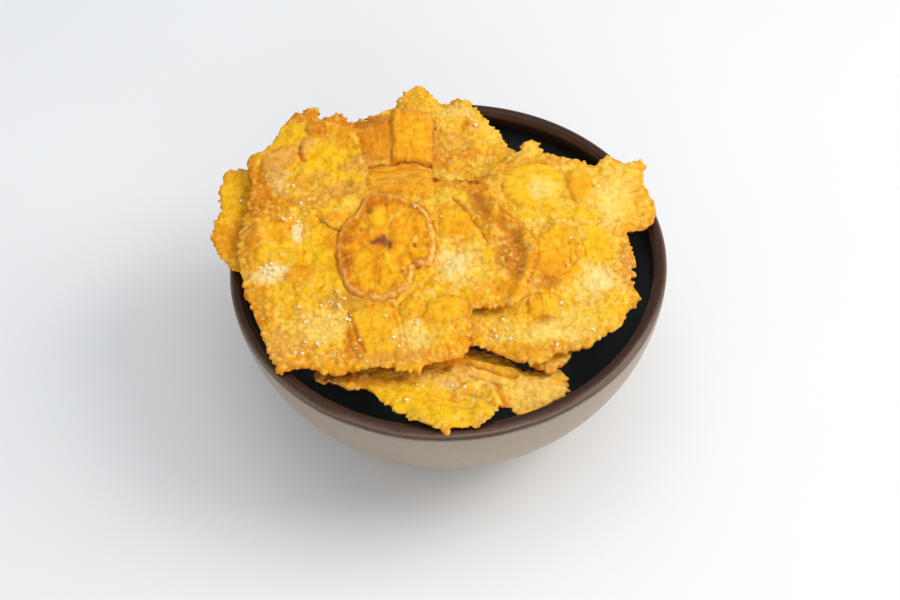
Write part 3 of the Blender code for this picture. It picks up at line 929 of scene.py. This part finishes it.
def salt_look():
    look = Look("coarse_salt")
    frost = look.noise(2600, 2)
    look.shade(
        Base_Color=look.ramp(frost, [(0.3, (0.8, 0.67, 0.44)), (0.7, (0.93, 0.85, 0.68))]),
        Roughness=look.stretch(frost, 0.3, 0.7, 0.35, 0.65),
        Specular_IOR_Level=0.3,
        Subsurface_Weight=0.4,
        Subsurface_Radius=(1, 0.9, 0.8),
        Subsurface_Scale=0.0006,
    )
    return look.material


def glaze_look():
    """Black inside, brown at the lip, unglazed-looking taupe outside.  "run" is the
    distance along the profile from the middle of the well, over its whole length."""
    look = Look("stoneware_glaze")
    run = look.attribute("run")
    wide = look.noise(38, 3)
    fine = look.noise(420, 4, 0.6)
    for waves, reach in ((wide, 0.003), (fine, 0.0016)):
        waves = look.stretch(waves, 0.3, 0.7, -0.5, 0.5)
        run = look.arithmetic("MULTIPLY_ADD", waves, reach, run)
    mottle = look.stretch(fine, 0.35, 0.7, 0, 0.22)
    outside = look.stretch(run, LIP_OUT - 0.004, LIP_OUT + 0.004)
    mottle = look.arithmetic("MULTIPLY", mottle, outside)
    look.shade(
        Base_Color=look.blend(mottle, look.ramp(run, GLAZE), (0.2, 0.13, 0.085)),
        Roughness=look.stretch(run, LIP_OUT, LIP_OUT + 0.01, 0.26, 0.38),
        Specular_IOR_Level=look.stretch(run, LIP_OUT, LIP_OUT + 0.01, 0.2, 0.5),
        Coat_Weight=0.04,
        Coat_Roughness=0.12,
        Normal=look.bump(wide, 0.002, 0.1),
    )
    return look.material


def floor_look():
    look = Look("pale_floor")
    tone = look.ramp(look.noise(6), [(0.3, (0.8, 0.8, 0.8)), (0.7, (0.82, 0.82, 0.82))])
    look.shade(Base_Color=tone, Roughness=0.7)
    return look.material


# ---------------------------------------------------------------- bowl

BOWL_RADIUS = 80
BOWL_HEIGHT = 64
LIP_WIDTH = 4.8
LIP_HEIGHT = 2
BODY_DEPTH = 71.5
BODY_POWER = 1.85
FOOT_RADIUS = 37.5
FOOT_HEIGHT = 4
INSIDE_FLOOR = 8
INSIDE_STEPS = 40
LIP_STEPS = 16
OUTSIDE_STEPS = 36
AROUND = 224


def bowl_profile():
    """Radius and height from the middle of the well over the lip to under the foot."""
    points = []
    inner = BOWL_RADIUS - LIP_WIDTH
    shoulder = BOWL_HEIGHT - LIP_HEIGHT
    for k in range(INSIDE_STEPS + 1):
        a = math.pi / 2 * (1 - k / INSIDE_STEPS)
        r = inner * max(math.cos(a), 0) ** 0.9
        points.append((r, shoulder - (shoulder - INSIDE_FLOOR) * math.sin(a)))
    for k in range(1, LIP_STEPS):
        a = math.pi * (1 - k / LIP_STEPS)
        r = BOWL_RADIUS - LIP_WIDTH / 2 + LIP_WIDTH / 2 * math.cos(a)
        points.append((r, shoulder + LIP_HEIGHT * math.sin(a) ** 0.8))
    for k in range(OUTSIDE_STEPS + 1):
        z = shoulder - (shoulder - FOOT_HEIGHT) * k / OUTSIDE_STEPS
        r = BOWL_RADIUS * math.sqrt(1 - ((shoulder - z) / BODY_DEPTH) ** BODY_POWER)
        points.append((max(r, FOOT_RADIUS), z))
    for inward, z in ((0.2, FOOT_HEIGHT - 1), (0.4, 1), (0.9, 0.25), (1.6, 0),
                      (4, 0), (4.7, 0.3), (5.2, 1.2), (6, 1.8)):
        points.append((FOOT_RADIUS - inward, z))
    return points + [(12, 2.2), (0, 2.2)]


PROFILE = bowl_profile()
RUN = np.linalg.norm(np.diff(np.array(PROFILE), axis=0), axis=1)
RUN = np.concatenate([[0], np.cumsum(RUN)])
RUN /= RUN[-1]
LIP_IN, LIP_OUT = float(RUN[INSIDE_STEPS]), float(RUN[INSIDE_STEPS + LIP_STEPS])
GLAZE = [
    # the inside: the glaze's own blue-black, lifted to teal-grey as painted sheen
    (LIP_IN - 0.060, (0.105, 0.128, 0.138)),
    (LIP_IN - 0.022, (0.020, 0.013, 0.010)),
    (LIP_IN - 0.004, (0.055, 0.024, 0.010)),
    (LIP_IN + 0.002, (0.190, 0.090, 0.036)),
    (LIP_IN + 0.007, (0.034, 0.012, 0.005)),
    (LIP_OUT - 0.011, (0.044, 0.017, 0.007)),
    # painted highlight: a light band on the outer rounding of the lip, all the way round
    (LIP_OUT - 0.004, (0.200, 0.125, 0.085)),
    (LIP_OUT, (0.040, 0.016, 0.009)),
    (LIP_OUT + 0.004, (0.036, 0.014, 0.008)),
    (LIP_OUT + 0.008, (0.330, 0.260, 0.200)),
    (LIP_OUT + 0.200, (0.390, 0.290, 0.200)),
]


def bowl(look):
    points, faces, run, rings = [], [], [], []
    for (r, z), along in zip(PROFILE, RUN):
        r, turns = (r, AROUND) if r > 1e-6 else (0, 1)
        rings.append([len(points) + k % turns for k in range(AROUND)])
        for k in range(turns):
            a = 2 * math.pi * k / AROUND
            points.append((r * math.cos(a), r * math.sin(a), z))
            run.append(along)
    for low, high in zip(rings, rings[1:]):
        for k in range(AROUND):
            after = (k + 1) % AROUND
            face = (high[k], high[after], low[after], low[k])
            if low[0] == low[1]:
                face = (high[k], high[after], low[0])
            elif high[0] == high[1]:
                face = (high[0], low[after], low[k])
            faces.append(face)
    made = add_mesh("bowl_glazed", points, faces, look)
    add_values(made, "run", run)
    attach(made, "root")
    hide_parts("bowl")


# ---------------------------------------------------------------- salt

# Where the salt fell thickest on each patty: (u, v, reach, crystals).
SALT = {
    "patty_top": [
        (-20, -32, 9, 34), (-28, -41, 8, 34), (-33, 6, 6, 14), (-41, -11, 5, 24),
        (-13, -49, 7, 26), (10, -40, 12, 8), (0, 20, 40, 7), (-36, 26, 10, 10),
    ],
    "patty_right": [(-28, -38, 7, 26), (0, -10, 26, 16), (-4, -38, 14, 10)],
    "patty_front": [(-4, -4, 18, 18)],
    "patty_left": [(-11, 8, 12, 6)],
    "patty_back": [(12, -4, 14, 10)],
}
# A crystal that would miss the patty, or land on its torn edge, is left out.
REACH_SQUARED = 1
EDGE_FREE = 1.5
CORNER_SIGNS = [(i, j, k) for k in (-1, 1) for j in (-1, 1) for i in (-1, 1)]
BOX_FACES = [(0, 2, 3, 1), (4, 5, 7, 6), (0, 1, 5, 4), (2, 6, 7, 3), (0, 4, 6, 2), (1, 3, 7, 5)]


def salt(surfaces, look):
    """Worn, slightly skewed cubes, sunk a little into the crust."""
    rng = np.random.default_rng(77)
    points, faces = [], []
    heaps = [(name, heap) for name, several in SALT.items() for heap in several]
    for name, (cu, cv, reach, count) in heaps:
        flat, top, turn, margin = surfaces[name]
        for _ in range(count):
            at = np.array([cu, cv]) + rng.normal(0.0, reach * 0.5, 2)
            gap = ((flat - at) ** 2).sum(axis=1)
            near = int(gap.argmin())
            if gap[near] > REACH_SQUARED or margin[near] < EDGE_FREE:
                continue
            size = 0.3 + 1.3 * rng.random() ** 3.5
            spin = Matrix.Rotation(rng.uniform(0.0, 6.28), 3, "Z")
            spin = np.array(spin @ Matrix.Rotation(rng.uniform(-0.5, 0.5), 3, "X"))
            box = rng.uniform(0.65, 1.0, 3) * size
            start = len(points)
            for sign in CORNER_SIGNS:
                local = spin @ (sign * box * 0.5 * rng.uniform(0.7, 1.0, 3))
                points.append(tuple(top[near] + turn @ (local + (0, 0, size * 0.3))))
            faces += [tuple(start + i for i in face) for face in BOX_FACES]
    made = add_mesh("salt_crystals", points, faces, look, smooth=False)
    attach(made, "root")


# ---------------------------------------------------------------- floor, light, camera

FLOOR_REACH = 4000
FLOOR_DROP = 0.05
# Place, aim, width and depth, watts and colour of each area light.
LIGHTS = {
    "key": ((1150, 50, 1050), (0, 0, 40), (900, 900), 14.6, (1, 0.985, 0.965)),
    "top": ((60, 200, 1250), (0, 0, 40), (1000, 1000), 3.6, (0.97, 0.985, 1)),
    "front": ((200, -1150, 520), (0, 0, 20), (1000, 700), 4.2, (1, 0.99, 0.98)),
}


def floor_and_light():
    corners = [(FLOOR_REACH * i, FLOOR_REACH * j, -FLOOR_DROP)
               for i, j in ((-1, -1), (1, -1), (1, 1), (-1, 1))]
    add_mesh("floor", corners, [(0, 1, 2, 3)], floor_look(), smooth=False)

    scene = bpy.context.scene
    scene.world = bpy.data.worlds.new("studio")
    scene.world.use_nodes = True
    sky = scene.world.node_tree.nodes["Background"]
    sky.inputs["Color"].default_value = (0.9, 0.95, 1, 1)
    sky.inputs["Strength"].default_value = 0.56

    for name, (place, aim, size, power, colour) in LIGHTS.items():
        data = bpy.data.lights.new(name, "AREA")
        data.shape = "RECTANGLE"
        data.size, data.size_y = (s * MM for s in size)
        data.energy = power
        data.color = colour
        lamp = bpy.data.objects.new(name, data)
        lamp.location = Vector(place) * MM
        lamp.rotation_euler = (Vector(aim) - Vector(place)).to_track_quat("-Z", "Y").to_euler()
        scene.collection.objects.link(lamp)
    scene.view_settings.view_transform = "Standard"


CAMERA_LENS = 70
CAMERA_SENSOR = 36
CAMERA_DISTANCE = 630.1
CAMERA_RISE = math.radians(50.71)
CAMERA_ROLL = math.radians(-2.96)
CAMERA_AIM = Vector((0.04, -19.34, 62))


def camera():
    back = Vector((0, -math.cos(CAMERA_RISE), math.sin(CAMERA_RISE)))
    right = Vector((1, 0, 0))
    up = back.cross(right)
    side = right * math.cos(CAMERA_ROLL) + up * math.sin(CAMERA_ROLL)
    top = up * math.cos(CAMERA_ROLL) - right * math.sin(CAMERA_ROLL)
    data = bpy.data.cameras.new("camera")
    data.lens = CAMERA_LENS
    data.sensor_width = CAMERA_SENSOR
    data.clip_start, data.clip_end = 0.01, 20
    made = bpy.data.objects.new("camera", data)
    place = Matrix.Translation((CAMERA_AIM + back * CAMERA_DISTANCE) * MM)
    made.matrix_world = place @ Matrix((side, top, back)).transposed().to_4x4()
    bpy.context.scene.collection.objects.link(made)
    bpy.context.scene.camera = made


# ---------------------------------------------------------------- build

camera()
floor_and_light()
bowl(glaze_look())
plantain = plantain_look()
surfaces = {name: patty(name, spec, plantain) for name, spec in PATTIES.items()}
salt(surfaces, salt_look())
